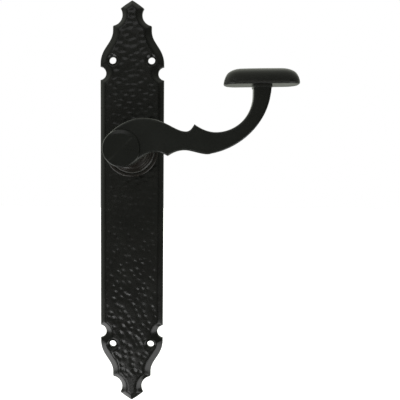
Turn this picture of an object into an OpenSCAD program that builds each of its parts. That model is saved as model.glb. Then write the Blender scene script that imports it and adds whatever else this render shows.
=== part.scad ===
// Door lever handle on a hammered long plate.
// The origin is on the spindle axis, in the plane of the door's face. +X points along the
// lever, +Z is up, and the handle stands out from the door along -Y.
// "Depth" below means the distance in front of the door's face, so y = -depth.

/* [Plate] */
// Height of the plate, tip to tip
plate_h = 300; // [280:1:340]
// Width of the plate
plate_w = 47; // [45:0.2:50]
// Depth of the plate's hammered front above the door
plate_d = 5; // [4.5:0.1:6]
// Wall thickness of the hollow plate
plate_wall = 1.8; // [1.4:0.1:2]
// Height of the spindle above the middle of the plate
spindle_up = 40.4; // [30:0.5:50]
// Distance between the screw holes, across the plate
screw_dx = 28.6; // [26:0.1:29]
// Distance between the screw holes, along the plate
screw_dz = 212.4; // [206:0.4:214]
// Radius of the screw holes
screw_r = 2.6; // [2:0.1:2.7]

/* [Lever] */
// Depth at the back of the lever arm
arm_back = 47.5; // [44:0.5:54]
// Thickness of the lever arm
arm_t = 10; // [9:0.5:11]
// Radius of the round end of the lever
hub_r = 12.1; // [11.6:0.1:12.4]
// Length of the palm pad, along the lever
pad_l = 48.9; // [44:0.1:54]
// Width of the palm pad
pad_w = 20; // [17:0.5:22]
// Thickness of the palm pad
pad_t = 10.8; // [9.5:0.1:12]

/* [Neck] */
// Radius of the neck's body
neck_r = 11.9; // [11.4:0.1:12]
// Radius of the flange at the foot of the neck
flange_r = 16.6; // [16:0.1:16.8]
// Radius of the journal that turns in the bush
journal_r = 9.5; // [9:0.05:9.5]
// Radial clearance of the journal in the bush
journal_gap = 0.05; // [0.02:0.01:0.1]

/* [Spindle] */
// Side of the square spindle
spindle_a = 8; // [7:0.5:8]
// How far the spindle reaches behind the door's face
spindle_out = 62; // [40:1:90]

/* [Return spring] */
// Diameter of the spring wire
wire_d = 1.2; // [1:0.05:1.25]
// Full turn of the lever, in degrees
lever_turn = 45; // [30:1:50]

/* [Hidden] */

iron = [0.09, 0.09, 0.09];
steel = [0.62, 0.63, 0.65];

// Plate outline, measured from the middle of the plate
half_w = plate_w / 2;
half_h = plate_h / 2;
notch_r = 4.87;          // radius of the side notches
notch_in = 4.2;          // how deep a notch cuts into the side
notch_down = 53.2;       // from the tip to the middle of a notch
waist_r = 8;             // radius of the hollow under each tip
waist_half = 7.35;       // half the width across that hollow
waist_down = 10.5;       // from the tip to the middle of that hollow
step_half = 14.3;        // half the width of the straight step under it
edge_steps = [[0, 0], [2.3, 0.3], [3, 1], [3.7, 1.9], [4.4, 2.8]]; // [depth, set in] up the bevel

// Screw holes
sink_r = 4.6;            // radius of the countersink at the front
sink_h = 2;              // its depth
boss_r = 5.4;            // radius of the pillar behind each hole

// Collar round the neck
collar_in = 17.2;
collar_out = 19.8;
collar_hole = 17.9;      // radius of the plate's hole that the collar is pressed into
collar_top = 6.9;

// Spring housing, a cup that closes the plate from behind
floor_t = 1;
cup_out = 17;
cup_in = 16;
cup_top = 5.2;
ear_z = 24;              // height of the two ears above and below the axis
ear_r = 4.5;
post_r = 3;
tap_r = 1.25;
m3_r = 1.22;
m3_head_r = 2.6;
m3_head_h = 0.9;

// Bush, journal and what holds the neck in it
bush_out = 11.3;
bush_step = 10.9;        // radius where the bush passes through the housing's floor
journal_end = 3;         // how far the journal reaches behind the door's face
washer_y = [0.3, 0.8];
wave_y = [0.85, 1.35];
wave_t = 0.3;
ring_y = [1.4, 2.2];
groove_r = 8.9;
clip_slot = 0.05;        // side clearance of the ring in its groove

// Pins on one circle round the axis
pin_circle = 14.4;
pin_r = 1;
pin_fit = 0.02;
drive_at = 120;          // angle of the drive pin at rest, from +X towards +Z
stop_gap = 0.35;         // gap between the drive pin and a stop at the end of its travel
stop_step = 2 * asin((2 * pin_r + stop_gap) / (2 * pin_circle));
stop_at = [drive_at + stop_step, drive_at - lever_turn - stop_step];
leg_gap = 0.1;           // gap between a spring leg and its pin
leg_step = 2 * asin((pin_r + wire_d / 2 + leg_gap) / (2 * pin_circle));
anchor_at = 193.4;

// Return spring
coil_r = 12.2;
coil_front = 4.6;        // depth of the wire's centre at the moving leg
coil_back = 1.75;        // depth of the wire's centre at the fixed leg
coil_turns = 2;          // whole turns, on top of the angle between the legs
bend_r = 1.2;            // radius of the bend into each leg
leg_r = 15.4;            // how far out the legs reach
wire_sides = 10;

// Neck
flange_back = 5.5;
flange_front = 7.3;
grub_at = 20;            // depth of the grub screw
grub_r = 2.4;
spigot_r = 7.5;          // the neck's front end, inside the arm's eye
spigot_end = 56.9;
socket_end = 39;         // depth that the spindle reaches inside the neck

// Lever arm and pad
arm_front = arm_back + arm_t;
arm_y = -(arm_back + arm_t / 2);
eye_r = 7.55;
cap_t = 1.7;
stem_left = 84.5;
stem_right = 95.9;
stem_x = (stem_left + stem_right) / 2;
crook_foot = [60.4, 11.1]; // lowest point inside the crook of the arm
crook_r = stem_left - crook_foot[0];
stem_top = 39.6;           // height of the stem at its middle
pad_tilt = 1.2;          // the stem's end and the pad rise this many degrees towards +X
stem_rise = (stem_right - stem_left) / 2 * tan(pad_tilt);
collar_h = 2;            // thickness of the shoulder under the pad
pad_off = -0.3;          // middle of the pad, from the middle of the stem along X
pad_end = 12;            // how far in from each end the pad's top starts to round over
pad_side = pad_w / 2 - 0.5; // the same from its front and its back
stud_r = 2.95;
stud_hole = 3;

// ---- helpers ----

// Points along a cubic curve, without its last point
function curve(a, b, c, d, n) =
  [for (i = [0:n - 1]) let (t = i / n, u = 1 - t)
    u * u * u * a + 3 * u * u * t * b + 3 * u * t * t * c + t * t * t * d];

// Points along an arc, both ends included
function arc(c, r, a0, a1, n) =
  [for (i = [0:n]) let (a = a0 + (a1 - a0) * i / n) c + r * [cos(a), sin(a)]];

function flip_x(p) = [for (i = [len(p) - 1:-1:0]) [-p[i][0], p[i][1]]];
function flip_z(p) = [for (i = [len(p) - 1:-1:0]) [p[i][0], -p[i][1]]];

// A flat shape drawn in x and z, filled between two depths
module slab(d0, d1) {
  translate([0, -d0, 0])
    rotate([90, 0, 0])
      linear_extrude(d1 - d0)
        children();
}

// A turned shape about the spindle axis, from [radius, depth] points
module turned(points) {
  rotate([90, 0, 0])
    rotate_extrude($fn = 96)
      polygon(points);
}

// A round rod along the spindle axis between two depths
module rod(r, d0, d1) {
  translate([0, -d0, 0])
    rotate([90, 0, 0])
      cylinder(r = r, h = d1 - d0, $fn = 48);
}

// Moves a piece onto the pin circle
module on_circle(angle, r = pin_circle) {
  translate([r * cos(angle), 0, r * sin(angle)])
    children();
}

// ---- plate ----

// The upper right quarter of the outline, from the tip down to the middle
waist_c = [waist_half + waist_r, half_h - waist_down];
waist_a = [147, 258];
crown = [waist_half + 1.4, waist_c[1] + 4.4];
notch_c = [half_w - notch_in + notch_r, half_h - notch_down];
notch_a = asin(4.82 / notch_r);
quarter = concat(
  curve([0, half_h], [2.8, half_h - 1.7], [5.8, half_h - 3.7], crown, 4),
  arc(waist_c, waist_r, waist_a[0], waist_a[1], 8),
  [[step_half, half_h - 18.8]],
  curve([step_half, half_h - 21.7], [step_half, half_h - 31.3],
        [half_w - 0.2, half_h - 34.4], [half_w, half_h - 46], 12),
  [[half_w, half_h - 48.4]],
  arc(notch_c, notch_r, 180 - notch_a, 180 + notch_a, 12),
  [[half_w, half_h - 58.1]]);

module plate_outline() {
  right = concat(quarter, flip_z(quarter));
  translate([0, -spindle_up])
    polygon(concat(right, flip_x(right)));
}

module at_screws() {
  for (x = [-1, 1])
    for (z = [-1, 1])
      translate([x * screw_dx / 2, 0, z * screw_dz / 2 - spindle_up])
        children();
}

module backplate() {
  ends = concat([for (s = edge_steps) s[0]], [plate_d]);
  color(iron)
    difference() {
      for (i = [0:len(edge_steps) - 1])
        slab(ends[i], ends[i + 1])
          offset(delta = -edge_steps[i][1])
            plate_outline();
      difference() {
        slab(-1, plate_d - plate_wall)
          offset(delta = -plate_wall)
            plate_outline();
        at_screws()
          rod(boss_r, -2, plate_d);
      }
      rod(collar_hole, -1, plate_d + 1);
      at_screws() {
        rod(screw_r, -1, plate_d + 1);
        translate([0, -(plate_d - sink_h), 0])
          rotate([90, 0, 0])
            cylinder(r1 = screw_r, r2 = sink_r, h = sink_h, $fn = 48);
        rod(sink_r, plate_d, plate_d + 1);
      }
    }
}

module neck_collar() {
  back = plate_d - plate_wall;
  color(iron)
    turned([[collar_in, back - 0.6], [collar_hole + 0.8, back - 0.6],
            [collar_hole + 0.8, back], [collar_hole, back], [collar_hole, plate_d],
            [collar_out, plate_d], [collar_out, collar_top - 0.9],
            [collar_out - 0.35, collar_top - 0.35], [collar_out - 0.9, collar_top],
            [collar_in + 0.9, collar_top], [collar_in + 0.3, collar_top - 0.3],
            [collar_in, collar_top - 0.9]]);
}

// ---- spring housing ----

module spring_housing() {
  color(steel)
    difference() {
      union() {
        slab(0, floor_t)
          hull() {
            circle(r = 18.8, $fn = 96);
            for (z = [-1, 1])
              translate([0, z * ear_z])
                circle(r = ear_r, $fn = 32);
          }
        rod(cup_out, 0, cup_top);
      }
      rod(cup_in, floor_t, cup_top + 1);
      rod(bush_step + pin_fit, -1, floor_t + 1);
      for (a = concat(stop_at, anchor_at))
        on_circle(a)
          rod(pin_r + pin_fit, -1, floor_t + 1);
      for (z = [-1, 1])
        translate([0, 0, z * ear_z]) {
          rod(m3_r + 0.2, -1, floor_t + 1);
          rotate([90, 0, 0])
            cylinder(r1 = m3_head_r + 0.1, r2 = m3_r + 0.2, h = m3_head_h, $fn = 48);
        }
    }
}

module housing_posts() {
  color(iron)
    for (z = [-1, 1])
      translate([0, 0, z * ear_z])
        difference() {
          rod(post_r, floor_t, plate_d - plate_wall);
          rod(tap_r, floor_t - 1, plate_d - plate_wall - 0.2);
        }
}

module housing_screws() {
  color(steel)
    for (z = [-1, 1])
      translate([0, 0, z * ear_z])
        difference() {
          union() {
            rod(m3_r, 0.1, plate_d - plate_wall - 0.3);
            translate([0, -0.02, 0])
              rotate([90, 0, 0])
                cylinder(r1 = m3_head_r, r2 = m3_r, h = m3_head_h - 0.1, $fn = 48);
          }
          translate([0, 0.2, 0])
            cube([2 * m3_head_r + 1, 1, 0.6], center = true);
        }
}

module neck_bush() {
  bore = journal_r + journal_gap;
  color("ivory")
    turned([[bore, 0], [bush_step, 0], [bush_step, floor_t], [bush_out, floor_t],
            [bush_out, flange_back - 0.1], [bore, flange_back - 0.1]]);
}

module stop_pins() {
  color(steel)
    for (a = stop_at)
      on_circle(a)
        rod(pin_r, 0, 3.8);
}

module anchor_pin() {
  color(steel)
    on_circle(anchor_at)
      rod(pin_r, 0, 3.2);
}

// ---- return spring ----

function ring_at(a, r, d) = [r * cos(a), -d, r * sin(a)];

// A leg bends from the coil's direction to straight out. side is +1 where the leg lies
// on the larger angle's side of the coil's end, and -1 on the other.
function leg(a, d, side) =
  let (out = [cos(a), 0, sin(a)], along = side * [-sin(a), 0, cos(a)],
       c = (coil_r + bend_r) * out)
  concat([for (i = [1:4]) let (t = i * 90 / 4)
           c - bend_r * cos(t) * out + bend_r * sin(t) * along + [0, -d, 0]],
         [leg_r * out + bend_r * along + [0, -d, 0]]);

// The bend sets a leg beside the coil's end by the bend's radius
bend_step = asin(bend_r / leg_r);
moving_end = drive_at - leg_step - bend_step;
fixed_end = anchor_at + leg_step + bend_step;
coil_sweep = 360 * coil_turns + fixed_end - moving_end;
coil_n = ceil(coil_sweep / 15);
coil = [for (i = [0:coil_n]) let (t = i / coil_n)
         ring_at(fixed_end - coil_sweep * t, coil_r, coil_back + (coil_front - coil_back) * t)];
fixed_leg = leg(fixed_end, coil_back, 1);
moving_leg = leg(moving_end, coil_front, -1);
wire_path = concat([for (i = [len(fixed_leg) - 1:-1:0]) fixed_leg[i]], coil, moving_leg);

// A round wire swept along a path, closed at both ends
module wire(path, r, sides) {
  n = len(path);
  rings = [for (i = [0:n - 1])
    let (t0 = path[min(i + 1, n - 1)] - path[max(i - 1, 0)],
         t = t0 / norm(t0),
         u0 = [0, 1, 0] - t[1] * t,
         u = u0 / norm(u0),
         v = cross(t, u))
      [for (k = [0:sides - 1]) path[i] + r * (cos(k * 360 / sides) * u + sin(k * 360 / sides) * v)]];
  points = [for (ring = rings) for (p = ring) p];
  sides_f = [for (i = [0:n - 2]) for (k = [0:sides - 1]) let (m = (k + 1) % sides)
    [i * sides + k, (i + 1) * sides + k, (i + 1) * sides + m, i * sides + m]];
  polyhedron(points, concat(sides_f,
    [[for (k = [0:sides - 1]) k]],
    [[for (k = [sides - 1:-1:0]) (n - 1) * sides + k]]));
}

module return_spring() {
  color(steel)
    wire(wire_path, wire_d / 2, wire_sides);
}

// ---- neck and what turns with it ----

module square_bar(a, d0, d1) {
  translate([-a / 2, -d1, -a / 2])
    cube([a, d1 - d0, a]);
}

module neck() {
  color(iron)
    difference() {
      turned([[0, -journal_end], [journal_r - 0.4, -journal_end], [journal_r, 0.4 - journal_end],
              [journal_r, -ring_y[1] - clip_slot], [groove_r, -ring_y[1] - clip_slot],
              [groove_r, -ring_y[0] + clip_slot], [journal_r, -ring_y[0] + clip_slot],
              [journal_r, flange_back], [flange_r, flange_back],
              [flange_r, flange_front - 0.5], [flange_r - 0.5, flange_front],
              [15.2, flange_front], [14.9, 7.7], [14.9, 9.6], [14.5, 10.1],
              [13.7, 10.1], [13.5, 10.5], [13.9, 11], [13.9, 12.4], [13.4, 13],
              [12.8, 13.2], [12.5, 13.8], [12.6, 14.6], [neck_r, 16],
              [neck_r, arm_back], [spigot_r, arm_back], [spigot_r, spigot_end], [0, spigot_end]]);
      square_bar(spindle_a + 0.1, -journal_end - 1, socket_end + 1);
      translate([0, -grub_at, -neck_r - 1])
        cylinder(r = grub_r + 0.05, h = neck_r, $fn = 48);
      on_circle(drive_at)
        rod(pin_r + pin_fit, flange_back - 1, flange_front - 0.3);
    }
}

module drive_pin() {
  color(steel)
    on_circle(drive_at)
      rod(pin_r, 1.8, flange_front - 0.4);
}

module thrust_washer() {
  color("ivory")
    turned([[journal_r + 0.1, -washer_y[1]], [13, -washer_y[1]],
            [13, -washer_y[0]], [journal_r + 0.1, -washer_y[0]]]);
}

// A thin spring washer with three waves
module wave_washer() {
  n = 60;
  radii = [journal_r + 0.3, 12.4];
  swing = (wave_y[1] - wave_y[0] - wave_t) / 2;
  mid = (wave_y[0] + wave_y[1]) / 2;
  points = [for (i = [0:n - 1]) let (a = i * 360 / n, y = mid + swing * sin(3 * a))
    for (corner = [[0, -1], [1, -1], [1, 1], [0, 1]])
      [radii[corner[0]] * cos(a), y + corner[1] * wave_t / 2, radii[corner[0]] * sin(a)]];
  faces = [for (i = [0:n - 1]) for (k = [0:3]) let (j = (i + 1) % n, m = (k + 1) % 4)
    for (f = [[4 * i + k, 4 * i + m, 4 * j + k], [4 * j + k, 4 * i + m, 4 * j + m]]) f];
  color(steel)
    polyhedron(points, faces);
}

module retaining_ring() {
  color(steel)
    slab(-ring_y[1], -ring_y[0])
      difference() {
        union() {
          translate([0, 0.35])
            circle(r = 11, $fn = 96);
          for (a = [-1, 1])
            rotate(-90 + a * 17)
              translate([10.6, 0])
                circle(r = 1.9, $fn = 32);
        }
        circle(r = groove_r + 0.03, $fn = 96);
        for (a = [-1, 1])
          rotate(-90 + a * 17)
            translate([10.9, 0])
              circle(r = 0.8, $fn = 24);
        translate([-1.4, -16])
          square([2.8, 10]);
      }
}

module spindle() {
  chamfer = 0.5;
  h = spindle_a / 2;
  color(steel)
    slab(-spindle_out, socket_end)
      polygon([[-h + chamfer, -h], [h - chamfer, -h], [h, -h + chamfer], [h, h - chamfer],
               [h - chamfer, h], [-h + chamfer, h], [-h, h - chamfer], [-h, -h + chamfer]]);
}

module grub_screw() {
  tip = spindle_a / 2 + 0.02;
  end = neck_r - 0.8;
  color(steel)
    difference() {
      translate([0, -grub_at, -end])
        cylinder(r = grub_r, h = end - tip, $fn = 48);
      translate([0, -grub_at, -end - 1])
        cylinder(r = 1.44, h = 4, $fn = 6);
    }
}

// ---- lever ----

// Outline of the arm in x and z, clockwise from where it leaves the round end
leave_at = 143;
join_at = -60;
arm_outline = concat(
  curve(hub_r * [cos(leave_at), sin(leave_at)], [-5.5, 13.1], [4.5, 19.8], [13.5, 19.8], 12),
  curve([13.5, 19.8], [28, 19.8], [34, 11.3], [41.5, 11.4], 14),
  curve([41.5, 11.4], [43.8, 11.4], [45.2, 13.1], [46.8, 16.1], 6),
  curve([46.8, 16.1], [50.6, 13.3], [55.5, 11.1], crook_foot, 8),
  arc(crook_foot + [0, crook_r], crook_r, -90, 0, 18),
  [[stem_left, stem_top - stem_rise], [stem_right, stem_top + stem_rise]],
  curve([stem_right - 0.2, stem_top - 1.5], [94.6, 19.4], [79.2, 1.6], [58, -2.6], 20),
  curve([58, -2.6], [54, -4.4], [46, -0.8], [41, -0.6], 10),
  curve([41, -0.6], [36, -0.6], [33, -2.1], [29.6, -4.4], 6),
  curve([29.6, -4.4], [27.2, -3.2], [25.5, -2], [22, -2], 6),
  curve([22, -2], [16.5, -2], [13.5, -4.4], hub_r * [cos(join_at), sin(join_at)], 8),
  arc([0, 0], hub_r, join_at, leave_at - 360, 30));

// Places a piece on the stem's end, in line with it
module on_stem(h = 0) {
  translate([stem_x, arm_y, stem_top])
    rotate([0, -pad_tilt, 0])
      translate([0, 0, h])
        children();
}

module lever_arm() {
  edge = 0.8;
  color(iron)
    difference() {
      union() {
        slab(arm_back + edge, arm_front - edge)
          polygon(arm_outline);
        slab(arm_back, arm_front)
          offset(delta = -edge)
            polygon(arm_outline);
      }
      rod(eye_r, arm_back - 1, arm_front + 1);
      on_stem(-12)
        cylinder(r = stud_hole, h = 14, $fn = 48);
    }
}

module hub_cap() {
  color(iron)
    turned([[0, arm_front], [hub_r, arm_front], [hub_r, arm_front + cap_t - 0.7],
            [hub_r - 0.2, arm_front + cap_t - 0.25], [hub_r - 0.7, arm_front + cap_t],
            [0, arm_front + cap_t]]);
}

module pad_collar() {
  size = [12.4, 11.4];
  color(iron)
    on_stem()
      difference() {
        linear_extrude(collar_h)
          polygon([for (c = [[1, 1], [-1, 1], [-1, -1], [1, -1]])
            for (p = arc([c[0] * (size[0] / 2 - 1.5), c[1] * (size[1] / 2 - 1.5)], 1.5,
                         atan2(c[1], c[0]) - 45, atan2(c[1], c[0]) + 45, 4)) p]);
        translate([0, 0, -1])
          cylinder(r = stud_hole, h = collar_h + 2, $fn = 48);
      }
}

module pad_stud() {
  color(steel)
    on_stem(-11.5)
      cylinder(r = stud_r, h = 11.5 + collar_h + 5.5, $fn = 48);
}

// Half an outline of a loaf: flat below, swelling to a crowned top
function loaf(half, h, side, n) =
  concat([[half - 1.2, 0], [half - 0.35, 0.35], [half, 1.3]],
         curve([half, 1.5], [half, h * 0.6], [half - side * 0.42, h - 0.5],
               [half - side, h - 0.4], n),
         curve([half - side, h - 0.4], [(half - side) * 0.7, h - 0.2], [(half - side) * 0.3, h],
               [0, h], 4));

module palm_pad() {
  along = loaf(pad_l / 2, pad_t, pad_end, 9);
  across = loaf(pad_w / 2, pad_t, pad_side, 8);
  end_r = pad_w / 2 - 1.5;
  color(iron)
    on_stem(collar_h)
      difference() {
        translate([pad_off, 0, 0]) intersection() {
          translate([0, pad_w / 2 + 1, 0])
            rotate([90, 0, 0])
              linear_extrude(pad_w + 2)
                polygon(concat(along, flip_x(along)));
          translate([-pad_l / 2 - 1, 0, 0])
            rotate([90, 0, 90])
              linear_extrude(pad_l + 2)
                polygon(concat(across, flip_x(across)));
          linear_extrude(pad_t)
            polygon([for (c = [[1, 1], [-1, 1], [-1, -1], [1, -1]])
              for (p = arc([c[0] * (pad_l / 2 - end_r), c[1] * (pad_w / 2 - end_r)], end_r,
                           atan2(c[1], c[0]) - 45, atan2(c[1], c[0]) + 45, 10)) p]);
        }
        translate([0, 0, -1])
          cylinder(r = stud_hole, h = 7, $fn = 48);
      }
}

backplate();
neck_collar();
spring_housing();
housing_posts();
housing_screws();
neck_bush();
stop_pins();
anchor_pin();
return_spring();
neck();
drive_pin();
thrust_washer();
wave_washer();
retaining_ring();
spindle();
grub_screw();
lever_arm();
hub_cap();
pad_collar();
pad_stud();
palm_pad();
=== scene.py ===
import math
import random

import bmesh
import bpy
import numpy as np
from mathutils import Matrix, Vector
from mathutils.geometry import delaunay_2d_cdt


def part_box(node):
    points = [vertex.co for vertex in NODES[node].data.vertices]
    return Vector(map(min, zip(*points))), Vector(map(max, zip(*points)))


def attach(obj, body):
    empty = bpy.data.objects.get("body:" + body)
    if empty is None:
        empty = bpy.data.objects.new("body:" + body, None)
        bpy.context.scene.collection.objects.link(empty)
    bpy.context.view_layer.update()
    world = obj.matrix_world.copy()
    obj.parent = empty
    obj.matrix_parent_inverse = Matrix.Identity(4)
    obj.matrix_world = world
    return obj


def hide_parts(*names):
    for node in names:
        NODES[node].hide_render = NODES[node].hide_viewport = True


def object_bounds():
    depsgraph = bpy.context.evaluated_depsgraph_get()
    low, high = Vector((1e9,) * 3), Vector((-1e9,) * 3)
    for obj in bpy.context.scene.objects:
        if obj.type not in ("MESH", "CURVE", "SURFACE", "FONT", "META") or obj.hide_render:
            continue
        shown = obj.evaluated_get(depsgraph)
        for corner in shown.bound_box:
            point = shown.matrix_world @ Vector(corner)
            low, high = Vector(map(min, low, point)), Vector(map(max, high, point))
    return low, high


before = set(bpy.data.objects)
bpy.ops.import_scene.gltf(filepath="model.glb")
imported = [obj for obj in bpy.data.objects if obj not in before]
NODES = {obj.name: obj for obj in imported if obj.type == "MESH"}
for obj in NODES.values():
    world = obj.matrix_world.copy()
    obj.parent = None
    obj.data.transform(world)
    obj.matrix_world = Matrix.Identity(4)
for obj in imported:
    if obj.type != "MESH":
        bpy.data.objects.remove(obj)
cad_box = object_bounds()
MM = 0.001


def box_mm(node):
    """(low, high) corners of a CAD node, in millimetres."""
    lo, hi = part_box(node)
    return np.array(lo) / MM, np.array(hi) / MM


# ---------------------------------------------------------------- curves in a plane, in millimetres

def bezier(a, b, c, d, n):
    a, b, c, d = (np.array(p, float) for p in (a, b, c, d))
    t = np.linspace(0, 1, n, endpoint=False)[:, None]
    u = 1 - t
    return u**3 * a + 3 * u * u * t * b + 3 * u * t * t * c + t**3 * d


def arc(centre, r, a0, a1, n):
    a = np.radians(np.linspace(a0, a1, n + 1))
    return np.array(centre, float) + r * np.stack([np.cos(a), np.sin(a)], 1)


def circle(centre, r, n):
    return arc(centre, r, 0, 360, n)[:-1]


def resample(points, step):
    """A closed line with a point about every step along each straight stretch, corners kept."""
    out = []
    for i in range(len(points)):
        p, q = points[i], points[(i + 1) % len(points)]
        n = max(1, int(round(np.linalg.norm(q - p) / step)))
        out += [p + (q - p) * k / n for k in range(n)]
    return np.array(out)


def inside(points, loop):
    x, y = points[:, 0], points[:, 1]
    hit = np.zeros(len(points), bool)
    for (x0, y0), (x1, y1) in zip(loop, np.roll(loop, -1, 0)):
        if y0 != y1:
            hit ^= ((y0 > y) != (y1 > y)) & (x < (x1 - x0) * (y - y0) / (y1 - y0) + x0)
    return hit


def distance(points, loop):
    """How far each point is from the nearest stretch of a closed line."""
    a, b = loop, np.roll(loop, -1, 0)
    d = b - a
    ll = (d * d).sum(1)
    ll[ll == 0] = 1e-12
    best = np.empty(len(points))
    for i in range(0, len(points), 2000):
        v = points[i:i + 2000, None] - a[None]
        t = np.clip((v * d[None]).sum(2) / ll, 0, 1)
        w = v - t[..., None] * d[None]
        best[i:i + 2000] = np.sqrt((w * w).sum(2).min(1))
    return best


def smooth(a, b, x):
    t = np.clip((x - a) / (b - a), 0, 1)
    return t * t * (3 - 2 * t)


def dome(x, power=2.0):
    """0 at x = 0, 1 from x = 1 on, rising like a quarter of an ellipse."""
    t = 1 - np.clip(x, 0, 1)
    return (1 - t**power) ** (1 / power)


# ---------------------------------------------------------------- meshes

SHARP = 38      # degrees between faces from which an edge is drawn sharp


def new_object(name, verts, faces, sharp=SHARP):
    mesh = bpy.data.meshes.new(name)
    mesh.from_pydata([tuple(v) for v in np.asarray(verts) * MM], [], faces)
    mesh.validate()
    mesh.polygons.foreach_set("use_smooth", [True] * len(mesh.polygons))
    mesh.set_sharp_from_angle(angle=math.radians(sharp))
    mesh.update()
    obj = bpy.data.objects.new(name, mesh)
    bpy.context.scene.collection.objects.link(obj)
    return obj


def pillow(name, loop, holes, front, back, place, step, insets, extra=(), sharp=SHARP):
    """A closed solid over a flat outline: front and back give its heights from (points, inset).

    loop and holes are closed lines, insets say how far in the rings of points along the rim lie,
    and place turns (u, v, height) into x, y, z.
    """
    rng = random.Random(len(loop))
    normal = np.roll(loop, -1, 0) - np.roll(loop, 1, 0)
    normal = np.stack([-normal[:, 1], normal[:, 0]], 1)
    normal /= np.linalg.norm(normal, axis=1)[:, None]
    if not inside(loop[:1] + normal[:1] * 0.01, loop)[0]:
        normal = -normal
    free = []
    for s in insets:
        ring = loop + normal * s
        ring = ring[inside(ring, loop)]
        ring = ring[distance(ring, loop) > s * 0.97]
        free += list(ring)
    free += [p for ring in extra for p in ring]
    free = np.array(free).reshape(-1, 2)
    lo, hi = loop.min(0), loop.max(0)
    grid = []
    row, v = 0, lo[1] + step / 2
    while v < hi[1]:
        u = lo[0] + (step / 2 if row % 2 else 0)
        while u < hi[0]:
            grid.append((u + rng.uniform(-0.12, 0.12) * step, v + rng.uniform(-0.12, 0.12) * step))
            u += step
        row, v = row + 1, v + step * 0.866
    grid = np.array(grid)
    grid = grid[inside(grid, loop)]
    grid = grid[distance(grid, loop) > (insets[-1] if insets else 0) + step * 0.5]
    points = np.concatenate([free, grid]) if len(free) else grid
    for hole in holes:
        points = points[~inside(points, hole)]
        points = points[distance(points, hole) > step * 0.3]
    if len(free):
        cell, keep, gap = {}, [], step * 0.45
        for i, p in enumerate(points):
            key = (int(p[0] // gap), int(p[1] // gap))
            near = [cell.get((key[0] + a, key[1] + b)) for a in (-1, 0, 1) for b in (-1, 0, 1)]
            near = [q for q in near if q is not None]
            if i >= len(free) and any(np.hypot(*(points[q] - p)) < gap for q in near):
                continue
            cell[key] = i
            keep.append(i)
        points = points[keep]
    loops = [loop, *holes]
    flat = np.concatenate([*loops, points])
    edges, start = [], 0
    for line in loops:
        n = len(line)
        edges += [(start + i, start + (i + 1) % n) for i in range(n)]
        start += n
    made = delaunay_2d_cdt([Vector(p) for p in flat], edges, [], 1, 1e-5)
    flat = np.array([tuple(v) for v in made[0]])
    tris = np.array([f for f in made[2] if len(f) == 3])
    middle = flat[tris].mean(1)
    good = inside(middle, loop)
    for hole in holes:
        good &= ~inside(middle, hole)
    tris = tris[good]
    a, b, c = (flat[tris[:, i]] for i in range(3))
    turn = (b[:, 0] - a[:, 0]) * (c[:, 1] - a[:, 1]) - (b[:, 1] - a[:, 1]) * (c[:, 0] - a[:, 0])
    solid = np.abs(turn) > 1e-9
    tris, turn = tris[solid], turn[solid]
    tris[turn < 0] = tris[turn < 0][:, ::-1]
    used = np.unique(tris)
    index = np.full(len(flat), -1)
    index[used] = np.arange(len(used))
    flat, tris = flat[used], index[tris]
    s = distance(flat, loop)
    top, under = front(flat, s), back(flat, s)
    n = len(flat)
    verts = [place(flat[:, 0], flat[:, 1], top), place(flat[:, 0], flat[:, 1], under)]
    verts = np.concatenate([np.stack(v, 1) for v in verts])
    sides = dict.fromkeys(e for t in tris for e in ((t[0], t[1]), (t[1], t[2]), (t[2], t[0])))
    rim = [e for e in sides if (e[1], e[0]) not in sides]
    faces = [tuple(map(int, t)) for t in tris]
    faces += [tuple(int(i) + n for i in t[::-1]) for t in tris]
    faces += [(int(b), int(a), int(a) + n, int(b) + n) for a, b in rim]
    obj = new_object(name, verts, faces, sharp)
    p0, p1, p2 = (verts[tris[0][i]] for i in range(3))
    outward = np.cross(p1 - p0, p2 - p0) @ (verts[tris[0]].mean(0) - verts[tris[0] + n].mean(0))
    if outward < 0:
        obj.data.flip_normals()
    return obj


def lathe(name, profile, sides):
    """A turned ring round the spindle's axis from a closed line of (radius, depth) points."""
    ang = np.linspace(0, 2 * math.pi, sides, endpoint=False)
    verts = [(r * math.cos(a), -d, r * math.sin(a)) for r, d in profile for a in ang]
    faces = []
    for k in range(len(profile)):
        p, q = k * sides, (k + 1) % len(profile) * sides
        for i in range(sides):
            j = (i + 1) % sides
            faces.append((p + i, p + j, q + j, q + i))
    obj = new_object(name, verts, faces)
    bm = bmesh.new()
    bm.from_mesh(obj.data)
    bmesh.ops.recalc_face_normals(bm, faces=bm.faces)
    bm.to_mesh(obj.data)
    bm.free()
    obj.data.set_sharp_from_angle(angle=math.radians(SHARP))
    return obj


def rounded(points, radius, n=5):
    """Rounds the corners of a closed profile, with one radius for each point."""
    pts = [np.array(p, float) for p in points]
    out = []
    for i, (p, r) in enumerate(zip(pts, radius)):
        a, b = pts[i - 1], pts[(i + 1) % len(pts)]
        la, lb = np.linalg.norm(a - p), np.linalg.norm(b - p)
        r = min(r, la * 0.48, lb * 0.48)
        if r <= 0.001:
            out.append(p)
            continue
        s, e = p + (a - p) / la * r, p + (b - p) / lb * r
        for k in range(n + 1):
            t = k / n
            out.append((1 - t) ** 2 * s + 2 * (1 - t) * t * p + t * t * e)
    return out


# ---------------------------------------------------------------- materials

def nodes_of(name):
    mat = bpy.data.materials.new(name)
    mat.use_nodes = True
    tree = mat.node_tree
    shader = tree.nodes["Principled BSDF"]
    return mat, tree, shader


def noise(tree, coord, scale, detail, rough):
    node = tree.nodes.new("ShaderNodeTexNoise")
    node.inputs["Scale"].default_value = scale
    node.inputs["Detail"].default_value = detail
    node.inputs["Roughness"].default_value = rough
    tree.links.new(coord, node.inputs["Vector"])
    return node.outputs["Fac"]


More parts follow.
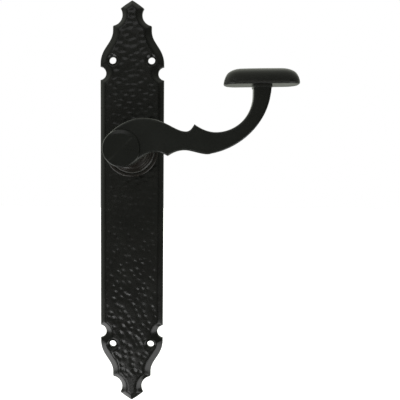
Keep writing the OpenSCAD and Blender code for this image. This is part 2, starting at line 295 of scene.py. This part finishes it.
def ramp(tree, source, stops):
    node = tree.nodes.new("ShaderNodeValToRGB")
    els = node.color_ramp.elements
    while len(els) < len(stops):
        els.new(0.5)
    for el, (at, colour) in zip(els, stops):
        el.position = at
        el.color = (*colour, 1)
    tree.links.new(source, node.inputs["Fac"])
    return node.outputs["Color"]


def span(tree, source, a, b, lo, hi):
    node = tree.nodes.new("ShaderNodeMapRange")
    node.inputs["From Min"].default_value = a
    node.inputs["From Max"].default_value = b
    node.inputs["To Min"].default_value = lo
    node.inputs["To Max"].default_value = hi
    tree.links.new(source, node.inputs["Value"])
    return node.outputs["Result"]


def feed(tree, socket, value):
    """Sets a socket to a number or a colour, or links it to an output."""
    if isinstance(value, tuple):
        socket.default_value = (*value, 1)
    elif isinstance(value, (int, float)):
        socket.default_value = value
    else:
        tree.links.new(value, socket)


def math_node(tree, op, a, b):
    node = tree.nodes.new("ShaderNodeMath")
    node.operation = op
    for socket, value in zip(node.inputs, (a, b)):
        feed(tree, socket, value)
    return node.outputs[0]


def mix_colour(tree, fac, a, b):
    node = tree.nodes.new("ShaderNodeMix")
    node.data_type = "RGBA"
    for key, value in (("Factor", fac), ("A", a), ("B", b)):
        feed(tree, node.inputs[key], value)
    return node.outputs["Result"]


def bump(tree, height, strength, distance_mm, normal=None):
    node = tree.nodes.new("ShaderNodeBump")
    node.inputs["Strength"].default_value = strength
    node.inputs["Distance"].default_value = distance_mm * MM
    tree.links.new(height, node.inputs["Height"])
    if normal is not None:
        tree.links.new(normal, node.inputs["Normal"])
    return node.outputs["Normal"]


RINGS_OUT, RINGS_ALONG = 2400.0, 2900.0     # tool rings a metre, outwards and along the axis


def black_paint(name, rough, grain, wear, tint, rub=(0.030, 0.029, 0.027), turned=0.0):
    """Satin black paint over iron: cloudy gloss, a fine grain and rubbed high edges.

    turned is the depth of the fine rings that a lathe leaves round the spindle's axis.
    """
    mat, tree, shader = nodes_of(name)
    link = tree.links.new
    coord = tree.nodes.new("ShaderNodeTexCoord").outputs["Object"]
    cloud = noise(tree, coord, 45, 3, 0.6)
    fine = noise(tree, coord, 1500, 3, 0.6)
    peel = noise(tree, coord, 420, 2, 0.5)
    dark = tuple(c * 0.72 for c in tint)
    light = tuple(c * 1.35 for c in tint)
    base = ramp(tree, cloud, [(0.3, dark), (0.7, light)])
    edge = tree.nodes.new("ShaderNodeNewGeometry").outputs["Pointiness"]
    edge = span(tree, edge, 0.53, 0.62, 0.0, 1.0)
    edge = math_node(tree, "MULTIPLY", edge, span(tree, fine, 0.35, 0.7, 0.3, 1.0))
    edge = math_node(tree, "MULTIPLY", edge, wear)
    base = mix_colour(tree, edge, base, rub)
    link(base, shader.inputs["Base Color"])
    gloss = span(tree, cloud, 0.3, 0.7, rough - 0.05, rough + 0.05)
    gloss = math_node(tree, "ADD", gloss, span(tree, fine, 0.2, 0.8, -0.03, 0.03))
    link(gloss, shader.inputs["Roughness"])
    normal = bump(tree, fine, grain, 0.05)
    normal = bump(tree, peel, grain * 0.6, 0.08, normal)
    if turned:
        sep = tree.nodes.new("ShaderNodeSeparateXYZ")
        link(coord, sep.inputs[0])
        x, y, z = sep.outputs
        xx, zz = math_node(tree, "MULTIPLY", x, x), math_node(tree, "MULTIPLY", z, z)
        radius = math_node(tree, "POWER", math_node(tree, "ADD", xx, zz), 0.5)
        rings_out = math_node(tree, "MULTIPLY", radius, RINGS_OUT)
        rings_along = math_node(tree, "MULTIPLY", y, RINGS_ALONG)
        comb = tree.nodes.new("ShaderNodeCombineXYZ")
        link(math_node(tree, "ADD", rings_out, rings_along), comb.inputs[0])
        rings = noise(tree, comb.outputs[0], 1.0, 3, 0.65)
        normal = bump(tree, rings, turned, 0.06, normal)
    link(normal, shader.inputs["Normal"])
    shader.inputs["IOR"].default_value = 1.5
    return mat


def metal(name, colour, rough, streak=0.0, grain=0.2, spread=0.18):
    """Bare or plated steel: cloudy colour, drawn streaks along the spindle's way, a fine grain."""
    mat, tree, shader = nodes_of(name)
    link = tree.links.new
    coord = tree.nodes.new("ShaderNodeTexCoord").outputs["Object"]
    cloud = noise(tree, coord, 160, 4, 0.6)
    fine = noise(tree, coord, 2500, 3, 0.6)
    dark = tuple(c * (1 - spread) for c in colour)
    light = tuple(min(1.0, c * (1 + spread)) for c in colour)
    base = ramp(tree, cloud, [(0.3, dark), (0.7, light)])
    link(base, shader.inputs["Base Color"])
    gloss = span(tree, cloud, 0.3, 0.7, rough - 0.06, rough + 0.08)
    if streak:
        mapping = tree.nodes.new("ShaderNodeMapping")
        mapping.inputs["Scale"].default_value = (1.0, 0.04, 1.0)
        link(coord, mapping.inputs["Vector"])
        lines = noise(tree, mapping.outputs[0], 1800, 2, 0.5)
        gloss = math_node(tree, "ADD", gloss, span(tree, lines, 0.3, 0.7, -streak, streak))
        normal = bump(tree, lines, 0.25, 0.03)
        normal = bump(tree, fine, grain, 0.03, normal)
    else:
        normal = bump(tree, fine, grain, 0.03)
    link(gloss, shader.inputs["Roughness"])
    link(normal, shader.inputs["Normal"])
    shader.inputs["Metallic"].default_value = 1.0
    return mat


def plastic(name, colour):
    """Moulded nylon: a slightly cloudy colour and a fine grain."""
    mat, tree, shader = nodes_of(name)
    coord = tree.nodes.new("ShaderNodeTexCoord").outputs["Object"]
    cloud = noise(tree, coord, 220, 3, 0.5)
    fine = noise(tree, coord, 1800, 2, 0.5)
    base = ramp(tree, cloud, [(0.3, tuple(c * 0.9 for c in colour)), (0.7, colour)])
    tree.links.new(base, shader.inputs["Base Color"])
    tree.links.new(span(tree, cloud, 0.3, 0.7, 0.42, 0.55), shader.inputs["Roughness"])
    tree.links.new(bump(tree, fine, 0.2, 0.04), shader.inputs["Normal"])
    return mat


PLATE = black_paint("paint_plate", 0.25, 0.06, 0.5, (0.0034, 0.0034, 0.0029))
LEVER = black_paint("paint_lever", 0.31, 0.08, 0.4, (0.0032, 0.0036, 0.0029))
TURNED = black_paint("paint_turned", 0.26, 0.08, 0.8, (0.0064, 0.0051, 0.0042),
                     rub=(0.05, 0.042, 0.034), turned=0.5)
PAD = black_paint("paint_pad", 0.35, 0.12, 0.4, (0.0036, 0.0038, 0.0032))
ZINC = metal("zinc_plate", (0.56, 0.57, 0.59), 0.36, grain=0.25)
PIN = metal("pin_steel", (0.62, 0.62, 0.62), 0.25, streak=0.05)
SPRING = metal("spring_wire", (0.30, 0.29, 0.28), 0.30, streak=0.08)
BLUED = metal("blackened_steel", (0.045, 0.045, 0.05), 0.35, grain=0.3, spread=0.3)
SPINDLE = metal("drawn_bar", (0.52, 0.53, 0.55), 0.32, streak=0.10)
NYLON = plastic("nylon", (0.62, 0.60, 0.54))


def finish_with(obj, mat):
    if len(obj.material_slots) == 0:
        obj.data.materials.append(mat)
    for slot in obj.material_slots:
        slot.material = mat


def stands_for(obj, node, body, mat):
    """Puts a visual piece in a node's place, on its body."""
    finish_with(obj, mat)
    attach(obj, body)
    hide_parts(node)


# ---------------------------------------------------------------- plate

plate_lo, plate_hi = box_mm("backplate")
half_w = (plate_hi[0] - plate_lo[0]) / 2
half_h = (plate_hi[2] - plate_lo[2]) / 2
mid_z = (plate_hi[2] + plate_lo[2]) / 2
plate_d = -plate_lo[1]
HOLE_X, HOLE_Z = 14.3, 106.2                        # screw holes, from the plate's middle
WAIST_R, WAIST_HALF, WAIST_DOWN = 8, 7.35, 10.5     # hollow under each tip
STEP_HALF = 14.3                                    # half the width where the shoulders begin
NOTCH_R, NOTCH_IN, NOTCH_DOWN = 4.87, 4.2, 53.2     # round notches in the sides
holes_at = [np.array([sx * HOLE_X, mid_z + sz * HOLE_Z]) for sx in (-1, 1) for sz in (-1, 1)]

waist_c = np.array([WAIST_HALF + WAIST_R, half_h - WAIST_DOWN])
crown = np.array([WAIST_HALF + 1.4, half_h - WAIST_DOWN + 4.4])
notch_c = np.array([half_w - NOTCH_IN + NOTCH_R, half_h - NOTCH_DOWN])
notch_a = math.degrees(math.asin(4.82 / NOTCH_R))
quarter = np.concatenate([
    bezier([0, half_h], [2.8, half_h - 1.7], [5.8, half_h - 3.7], crown, 14),
    arc(waist_c, WAIST_R, 147, 258, 20),
    [[STEP_HALF, half_h - 18.8]],
    bezier([STEP_HALF, half_h - 21.7], [STEP_HALF, half_h - 31.3],
           [half_w - 0.2, half_h - 34.4], [half_w, half_h - 46], 36),
    [[half_w, half_h - 48.4]],
    arc(notch_c, NOTCH_R, 180 - notch_a, 180 + notch_a, 18),
    [[half_w, half_h - 58.1]]])
right = np.concatenate([quarter, quarter[::-1] * [1, -1]])
outline = np.concatenate([right, right[::-1] * [-1, 1]])
keep = np.linalg.norm(outline - np.roll(outline, 1, 0), axis=1) > 0.02
outline = resample(outline[keep] + [0, mid_z], 0.75)

# Hammer marks: oval dents, level across the upper half, leaning across the lower one, and none on
# the lower tip
rng = random.Random(11)
dents = []
v, row = plate_lo[2] + 1.5, 0
while v < plate_hi[2]:
    lean = smooth(-25, 25, mid_z - v)
    u = -half_w + (3.1 if row % 2 else 0)
    while u < half_w:
        angle = math.radians(rng.uniform(-20, 20) - 45 * lean)
        size = rng.uniform(0.68, 1.15)
        at_u, at_v = u + rng.uniform(-2.2, 2.2), v + rng.uniform(-1.7, 1.7)
        deep = rng.uniform(0.19 + 0.03 * (1 - lean), 0.36 + 0.04 * (1 - lean))
        deep *= smooth(plate_lo[2] + 14, plate_lo[2] + 23, v)
        half_l, half_s = (3.6 - 0.8 * lean) * size, (2.2 - 0.2 * lean) * size
        dents.append((at_u, at_v, half_l, half_s, angle, deep))
        u += 5.7 + 0.6 * (1 - lean)
    v += 4.5 - 0.2 * (1 - lean)
    row += 1
dents = np.array(dents)


def dented(points):
    """Depth of the hammer marks at each point."""
    deep = np.zeros(len(points))
    for i in range(0, len(points), 2000):
        p = points[i:i + 2000]
        d = p[:, None] - dents[None, :, :2]
        c, s = np.cos(dents[:, 4]), np.sin(dents[:, 4])
        a = (d[..., 0] * c + d[..., 1] * s) / dents[:, 2]
        b = (-d[..., 0] * s + d[..., 1] * c) / dents[:, 3]
        q = np.clip(1 - (a * a + b * b), 0, None) ** 1.3 * dents[:, 5]
        deep[i:i + 2000] = (q ** 6).sum(1) ** (1 / 6)
    return deep


def to_holes(points):
    return np.min([np.linalg.norm(points - h, axis=1) for h in holes_at], axis=0)


RIM = 4.2                                   # inset where the hammer marks begin
SINK_R, HOLE_R, SINK_H = 4.6, 2.6, 2.0      # countersinks
SINK_EDGE = 0.25                            # how soft their edge is
BORE_R = 17.9                               # hole that the collar is pressed into
FADE_IN, FADE_OUT = 18.2, 19.5              # radii between which the marks fade in round it
EDGE_H = 1.6                                # height of the plate's edge
PLATE_WALL = 1.8


def plate_front(points, s):
    """Height of the front: bevel, broader at both ends, then hammer marks and countersinks."""
    from_mid = np.abs(points[:, 1] - mid_z)
    ends = smooth(86, 98, from_mid) * (1 - 0.75 * smooth(half_h - 26, half_h - 17, from_mid))
    slope = EDGE_H + 0.65 * dome(s / 0.45) + (0.78 - 0.27 * ends) * s
    round_in = 1.2 - 0.4 * ends
    blend = np.clip(0.5 + (plate_d - slope) / (2 * round_in), 0, 1)
    h = slope * blend + plate_d * (1 - blend) - round_in * blend * (1 - blend)
    r = to_holes(points)
    centre = np.linalg.norm(points, axis=1)
    rim = RIM + 1.1 * ends
    field = smooth(rim - 0.6, rim + 2.2, s)
    field = field * smooth(SINK_R + 0.2, SINK_R + 1.6, r) * smooth(FADE_IN, FADE_OUT, centre)
    h = h - dented(points) * field
    sink = plate_d - SINK_H * np.clip((SINK_R - r) / (SINK_R - HOLE_R), 0, 1)
    sink += 0.25 * smooth(SINK_R, SINK_R + 0.8, r)
    sink += SINK_EDGE * 3 * smooth(SINK_R - 0.6, SINK_R + 0.8, r)
    sink = np.where(r < SINK_R + 0.8, sink, 99)
    return -np.log(np.exp(-h / SINK_EDGE) + np.exp(-sink / SINK_EDGE)) * SINK_EDGE


def plate_back(points, s):
    """Height of the back: hollow but for the rim and a pillar round each screw hole."""
    wall = smooth(1.7, 2.2, s) * smooth(5.3, 5.7, to_holes(points))
    return (plate_d - PLATE_WALL) * wall


sink_rings = ((3.1, 30), (3.6, 34), (4.1, 38), (4.6, 42), (5.3, 46), (5.7, 48))
rings = [circle(h, r, n) for h in holes_at for r, n in sink_rings]
rings += [circle((0, 0), r, int(r * 8)) for r in (18.5, 19.2)]
backplate = pillow(
    "backplate_cast", outline,
    [circle(h, HOLE_R, 28) for h in holes_at] + [circle((0, 0), BORE_R, 140)],
    plate_front, plate_back, lambda u, v, h: (u, -h, v), 0.8,
    (0.1, 0.35, 0.7, 1.2, 1.8, 2.4, 3.1, 3.8), rings, sharp=50)
stands_for(backplate, "backplate", "plate", PLATE)

# Collar pressed into the plate, with a rounded lip
c_lo, c_hi = box_mm("neck_collar")
c_out, c_top, c_foot = c_hi[0], -c_lo[1], -c_hi[1]
COLLAR_IN, COLLAR_FIT = 17.2, 17.85         # radii of its bore and of the part in the plate
collar = lathe("neck_collar_turned", rounded(
    [(COLLAR_IN, c_foot), (COLLAR_FIT, c_foot), (COLLAR_FIT, plate_d - 0.2),
     (c_out, plate_d - 0.2), (c_out, c_top - 0.5), (c_out - 0.7, c_top), (COLLAR_IN, c_top)],
    [0.1, 0.1, 0, 0.1, 0.5, 0.5, 0.6]), 200)
stands_for(collar, "neck_collar", "plate", TURNED)

# ---------------------------------------------------------------- neck

neck = NODES["neck"]
finish_with(neck, TURNED)

# ---------------------------------------------------------------- lever arm

arm_lo, arm_hi = box_mm("lever_arm")
arm_back, arm_front = -arm_hi[1], -arm_lo[1]
HUB_R, EYE_R = 12.1, 7.55                   # round end, and the eye that takes the neck
STEM_L, STEM_R, STEM_T = 84.5, 95.9, 39.6   # sides and top of the upright stem
TILT = 1.2                                  # lean of the stem's top and the pad, in degrees
EDGE = 1.25                                 # radius of the arm's edges
rise = (STEM_R - STEM_L) / 2 * math.tan(math.radians(TILT))
crook_r = STEM_L - 60.4
leave, join = math.radians(143), math.radians(-60)      # where the arm's edges meet the round end
arm_line = np.concatenate([
    bezier([HUB_R * math.cos(leave), HUB_R * math.sin(leave)],
           [-5.5, 13.1], [4.5, 19.8], [13.5, 19.8], 40),
    bezier([13.5, 19.8], [28, 19.8], [34, 11.3], [41.5, 11.4], 48),
    bezier([41.5, 11.4], [43.8, 11.4], [45.2, 13.1], [46.8, 16.1], 12),
    bezier([46.8, 16.1], [50.6, 13.3], [55.5, 11.1], [60.4, 11.1], 20),
    arc([60.4, 11.1 + crook_r], crook_r, -90, 0, 56),
    [[STEM_L, STEM_T - rise], [STEM_R, STEM_T + rise]],
    bezier([STEM_R - 0.2, STEM_T - 1.5], [94.6, 19.4], [79.2, 1.6], [58, -2.6], 80),
    bezier([58, -2.6], [54, -4.4], [46, -0.8], [41, -0.6], 24),
    bezier([41, -0.6], [36, -0.6], [33, -2.1], [29.6, -4.4], 18),
    bezier([29.6, -4.4], [27.2, -3.2], [25.5, -2], [22, -2], 14),
    bezier([22, -2], [16.5, -2], [13.5, -4.4],
           [HUB_R * math.cos(join), HUB_R * math.sin(join)], 22),
    arc([0, 0], HUB_R, -60, 143 - 360, 84)[:-1]])
arm_line = resample(arm_line, 0.9)


def arm_depth(points, s):
    """Depth of the arm's faces in from the flat: rounded edges, square where the pad sits."""
    side = np.minimum(points[:, 0] - STEM_L, STEM_R - points[:, 0])
    d = np.where(points[:, 1] > STEM_T - 3, np.clip(side, 0, 99), s)
    d = np.where(np.linalg.norm(points, axis=1) < HUB_R + 0.05, 99, d)
    return EDGE * (1 - dome(d / EDGE))


arm = pillow(
    "lever_arm_cast", arm_line, [circle((0, 0), EYE_R, 72)],
    lambda p, s: arm_front - arm_depth(p, s), lambda p, s: arm_back + arm_depth(p, s),
    lambda u, v, h: (u, -h, v), 1.0, (0.08, 0.25, 0.55, 0.9, 1.3), sharp=50)
stands_for(arm, "lever_arm", "lever", LEVER)

# Raised round face on the arm's end: a tight edge on the outside, a broad soft one towards the grip
h_lo, h_hi = box_mm("hub_cap")
h_r, h_back, h_front = h_hi[0], -h_hi[1], -h_lo[1]
SIDES = 220
FLAT_R = h_r - 3.8                          # the face is flat inside this
theta = np.linspace(-180, 180, SIDES, endpoint=False)
cos_t, sin_t = np.cos(np.radians(theta)), np.sin(np.radians(theta))
wide = smooth(150, 95, theta) * smooth(-60, -20, theta)
lip, slant = 0.35 + 0.65 * (1 - wide), 0.5 + 2.1 * wide
fall = 0.27 * wide * (1 - 0.65 * smooth(55, 5, theta)) * slant
rows = [(np.full(SIDES, FLAT_R * k), np.full(SIDES, h_front)) for k in (0.3, 0.6, 0.85, 0.97)]
for t in np.linspace(0, 1, 9):
    turn = np.minimum(t / 0.3, 1)
    drop = fall * (t - 0.15 * (1 - (1 - turn) ** 2)) * turn
    rows.append((h_r - lip - slant * (1 - t), h_front - drop))
edge = rows[-1][1]
for t in np.linspace(0.12, 1, 7):
    bend = t * math.pi / 2
    rows.append((h_r - lip + lip * math.sin(bend),
                 h_back + (edge - h_back) * (1 - (1 - math.cos(bend)) * 0.8)))
rows.append((np.full(SIDES, h_r), np.full(SIDES, h_back)))
verts = [np.stack([r * cos_t, -d, r * sin_t], 1) for r, d in rows]
verts = np.concatenate(verts + [[[0, -h_front, 0], [0, -h_back, 0]]])
faces, last = [], (len(rows) - 1) * SIDES
for i in range(SIDES):
    j = (i + 1) % SIDES
    faces.append((len(verts) - 2, i, j))
    faces += [(k + j, k + i, k + SIDES + i, k + SIDES + j) for k in range(0, last, SIDES)]
    faces.append((len(verts) - 1, last + j, last + i))
cap = new_object("hub_face", verts, faces, 50)
stands_for(cap, "hub_cap", "lever", LEVER)

# ---------------------------------------------------------------- pad

stem_x = (STEM_L + STEM_R) / 2
arm_y = -(arm_back + arm_front) / 2
tilt = np.array(Matrix.Rotation(math.radians(-TILT), 3, "Y"))


def on_stem(h0):
    """Places a shape drawn in x and y at height h0 above the stem's end, square to it."""
    def place(u, v, h):
        x, y, z = tilt @ np.stack([u, v, h + h0], 0)
        return x + stem_x, y + arm_y, z + STEM_T
    return place


def box_line(w, d, r, n=8):
    """A rectangle with rounded corners."""
    pts = []
    for sx, sy, a in ((1, 1, 0), (-1, 1, 90), (-1, -1, 180), (1, -1, 270)):
        pts += list(arc([sx * (w / 2 - r), sy * (d / 2 - r)], r, a, a + 90, n))
    return resample(np.array(pts), 0.6)


SHOULDER_W, SHOULDER_D, SHOULDER_T, STUD_R = 12.4, 11.4, 2.0, 3
shoulder = pillow(
    "pad_shoulder", box_line(SHOULDER_W, SHOULDER_D, 1.5), [circle((0, 0), STUD_R, 40)],
    lambda p, s: np.full(len(p), SHOULDER_T), lambda p, s: 0.35 * (1 - dome(s / 0.5)),
    on_stem(0), 0.8, (0.12, 0.35, 0.6), sharp=50)
stands_for(shoulder, "pad_collar", "lever", LEVER)

PAD_L, PAD_W, PAD_T, PAD_OFF = 48.9, 20.0, 10.8, -0.3
PAD_RIM = 1.3                               # height where the pad is widest
END_S, SIDE_S = 12.0, 10.0                  # how far in its ends and its sides are rounded


def pad_top(points, s):
    """Height of the pad's crowned top."""
    x = np.abs(points[:, 0] - PAD_OFF)
    y = np.abs(points[:, 1])
    fx = dome((PAD_L / 2 - x) / END_S, 2.3)
    fy = dome((PAD_W / 2 - y) / SIDE_S, 2.1)
    crown_x = 0.35 * (x / (PAD_L / 2)) ** 2
    return PAD_RIM + (PAD_T - PAD_RIM - crown_x) * fx * fy * dome(s / 3.0) ** 0.6


pad_line = box_line(PAD_L, PAD_W, 8.5, 24) + [PAD_OFF, 0]
pad = pillow(
    "palm_pad_cast", pad_line, [],
    pad_top, lambda p, s: PAD_RIM * (1 - dome(s / 1.2)), on_stem(SHOULDER_T), 0.8,
    (0.05, 0.15, 0.35, 0.65, 1.0, 1.5, 2.1, 2.8, 3.6), sharp=60)
stands_for(pad, "palm_pad", "lever", PAD)

# ---------------------------------------------------------------- pieces kept from the frame

for node, mat, slot in (
        ("spring_housing", ZINC, "zinc_steel"), ("housing_posts", PLATE, "plate_black"),
        ("housing_screws", ZINC, "zinc_steel"), ("neck_bush", NYLON, "bush_nylon"),
        ("stop_pins", PIN, "pin_steel"), ("anchor_pin", PIN, "pin_steel"),
        ("drive_pin", PIN, "pin_steel"), ("return_spring", SPRING, "spring_steel"),
        ("thrust_washer", NYLON, "bush_nylon"), ("wave_washer", SPRING, "spring_steel"),
        ("retaining_ring", SPRING, "spring_steel"), ("spindle", SPINDLE, "zinc_steel"),
        ("grub_screw", BLUED, "screw_black"), ("pad_stud", PIN, "pin_steel")):
    finish_with(NODES[node], mat)

# ---------------------------------------------------------------- studio

FLOOR_R, FLOOR_DROP = 12.0, 0.95            # metres out from the middle, and below the plate
floor_z = cad_box[0][2] - FLOOR_DROP
floor_mesh = bpy.data.meshes.new("floor")
corners = [(x * FLOOR_R, y * FLOOR_R, floor_z) for x, y in ((-1, -1), (1, -1), (1, 1), (-1, 1))]
floor_mesh.from_pydata(corners, [], [(0, 1, 2, 3)])
floor = bpy.data.objects.new("floor", floor_mesh)
bpy.context.scene.collection.objects.link(floor)
floor_mat, _, floor_shader = nodes_of("floor_pale")
floor_shader.inputs["Base Color"].default_value = (0.86, 0.86, 0.86, 1)
floor_shader.inputs["Roughness"].default_value = 0.9
floor_shader.inputs["Emission Color"].default_value = (1, 1, 1, 1)
floor_shader.inputs["Emission Strength"].default_value = 1.1
floor_mesh.materials.append(floor_mat)
floor.visible_glossy = False

world = bpy.data.worlds.new("studio")
bpy.context.scene.world = world
world.use_nodes = True
wt = world.node_tree
wt.nodes.clear()
out = wt.nodes.new("ShaderNodeOutputWorld")
bg_seen = wt.nodes.new("ShaderNodeBackground")
bg_seen.inputs["Color"].default_value = (1, 1, 1, 1)
bg_seen.inputs["Strength"].default_value = 1.0
bg_light = wt.nodes.new("ShaderNodeBackground")
coord = wt.nodes.new("ShaderNodeTexCoord")
sep = wt.nodes.new("ShaderNodeSeparateXYZ")
wt.links.new(coord.outputs["Generated"], sep.inputs[0])


def levels(axis, stops):
    """Brightness of the surroundings by direction along one axis, from -1 to 1."""
    stops = [(at * 0.5 + 0.5, (level,) * 3) for at, level in stops]
    return ramp(wt, span(wt, sep.outputs[axis], -1, 1, 0, 1), stops)


# Dim in front of the door and below, dimmer again to the far right
along = levels("Y", ((-0.88, 0.05), (-0.75, 0.18), (-0.53, 0.36), (-0.24, 0.60), (0.1, 0.90),
                     (0.75, 1.12)))
height = levels("Z", ((-0.92, 0.12), (-0.55, 0.50), (0.0, 0.70), (0.6, 1.0)))
across = span(wt, sep.outputs["X"], 0.55, 0.9, 1.0, 0.45)
strength = math_node(wt, "MULTIPLY", math_node(wt, "MULTIPLY", along, height), across)
wt.links.new(strength, bg_light.inputs["Strength"])
PALE = (0.96, 1.0, 0.88)
bg_light.inputs["Color"].default_value = (*PALE, 1)
mixer = wt.nodes.new("ShaderNodeMixShader")
path = wt.nodes.new("ShaderNodeLightPath")
wt.links.new(path.outputs["Is Camera Ray"], mixer.inputs[0])
wt.links.new(bg_light.outputs[0], mixer.inputs[1])
wt.links.new(bg_seen.outputs[0], mixer.inputs[2])
wt.links.new(mixer.outputs[0], out.inputs[0])


def softbox(name, at, aim, w, h, watts, colour=(1, 1, 1)):
    """A soft area light that the camera doesn't see."""
    data = bpy.data.lights.new(name, "AREA")
    data.shape = "RECTANGLE"
    data.size, data.size_y = w, h
    data.energy = watts
    data.color = colour
    obj = bpy.data.objects.new(name, data)
    obj.location = at
    obj.rotation_mode = "QUATERNION"
    obj.rotation_quaternion = (Vector(aim) - Vector(at)).to_track_quat("-Z", "Y")
    obj.visible_camera = False
    bpy.context.scene.collection.objects.link(obj)


softbox("front_fill", (-0.03, -0.95, -0.12), (-0.03, 0.0, -0.12), 0.8, 1.0, 0.41, PALE)
softbox("strip_above", (-0.20, -0.88, 0.53), (0.0, 0.0, 0.05), 0.5, 0.30, 0.44)
softbox("spot_below", (-0.22, -0.70, -0.59), (0.0, 0.0, -0.14), 0.19, 0.22, 0.57)
softbox("left_low", (-0.63, -0.08, -0.80), (0.0, 0.0, -0.15), 0.85, 0.75, 4.7)
softbox("right_low", (0.66, -0.34, -0.79), (0.0, 0.0, -0.15), 0.75, 0.72, 3.2)

# ---------------------------------------------------------------- camera

CAMERA_AT = (0.05079, -0.400, -0.0068)      # metres
PITCH, ROLL = -0.0587, 0.0093               # radians
SENSOR, FOCAL = 36, 47.997                  # mm
SHIFT = -0.02175                            # lens shift upwards, in widths of the frame
look = Vector((0, math.cos(PITCH), math.sin(PITCH)))
side = Vector((1, 0, 0))
up = side.cross(look)
right_v = math.cos(ROLL) * side + math.sin(ROLL) * up
up_v = -math.sin(ROLL) * side + math.cos(ROLL) * up
cam_data = bpy.data.cameras.new("camera")
cam = bpy.data.objects.new("camera", cam_data)
cam.matrix_world = Matrix((
    (right_v.x, up_v.x, -look.x, CAMERA_AT[0]),
    (right_v.y, up_v.y, -look.y, CAMERA_AT[1]),
    (right_v.z, up_v.z, -look.z, CAMERA_AT[2]),
    (0, 0, 0, 1)))
cam_data.sensor_width = SENSOR
cam_data.lens = FOCAL
cam_data.shift_y = SHIFT
cam_data.clip_start, cam_data.clip_end = 0.01, 60
bpy.context.scene.collection.objects.link(cam)
bpy.context.scene.camera = cam
bpy.context.scene.view_settings.view_transform = "Standard"
bpy.context.scene.view_settings.look = "None"
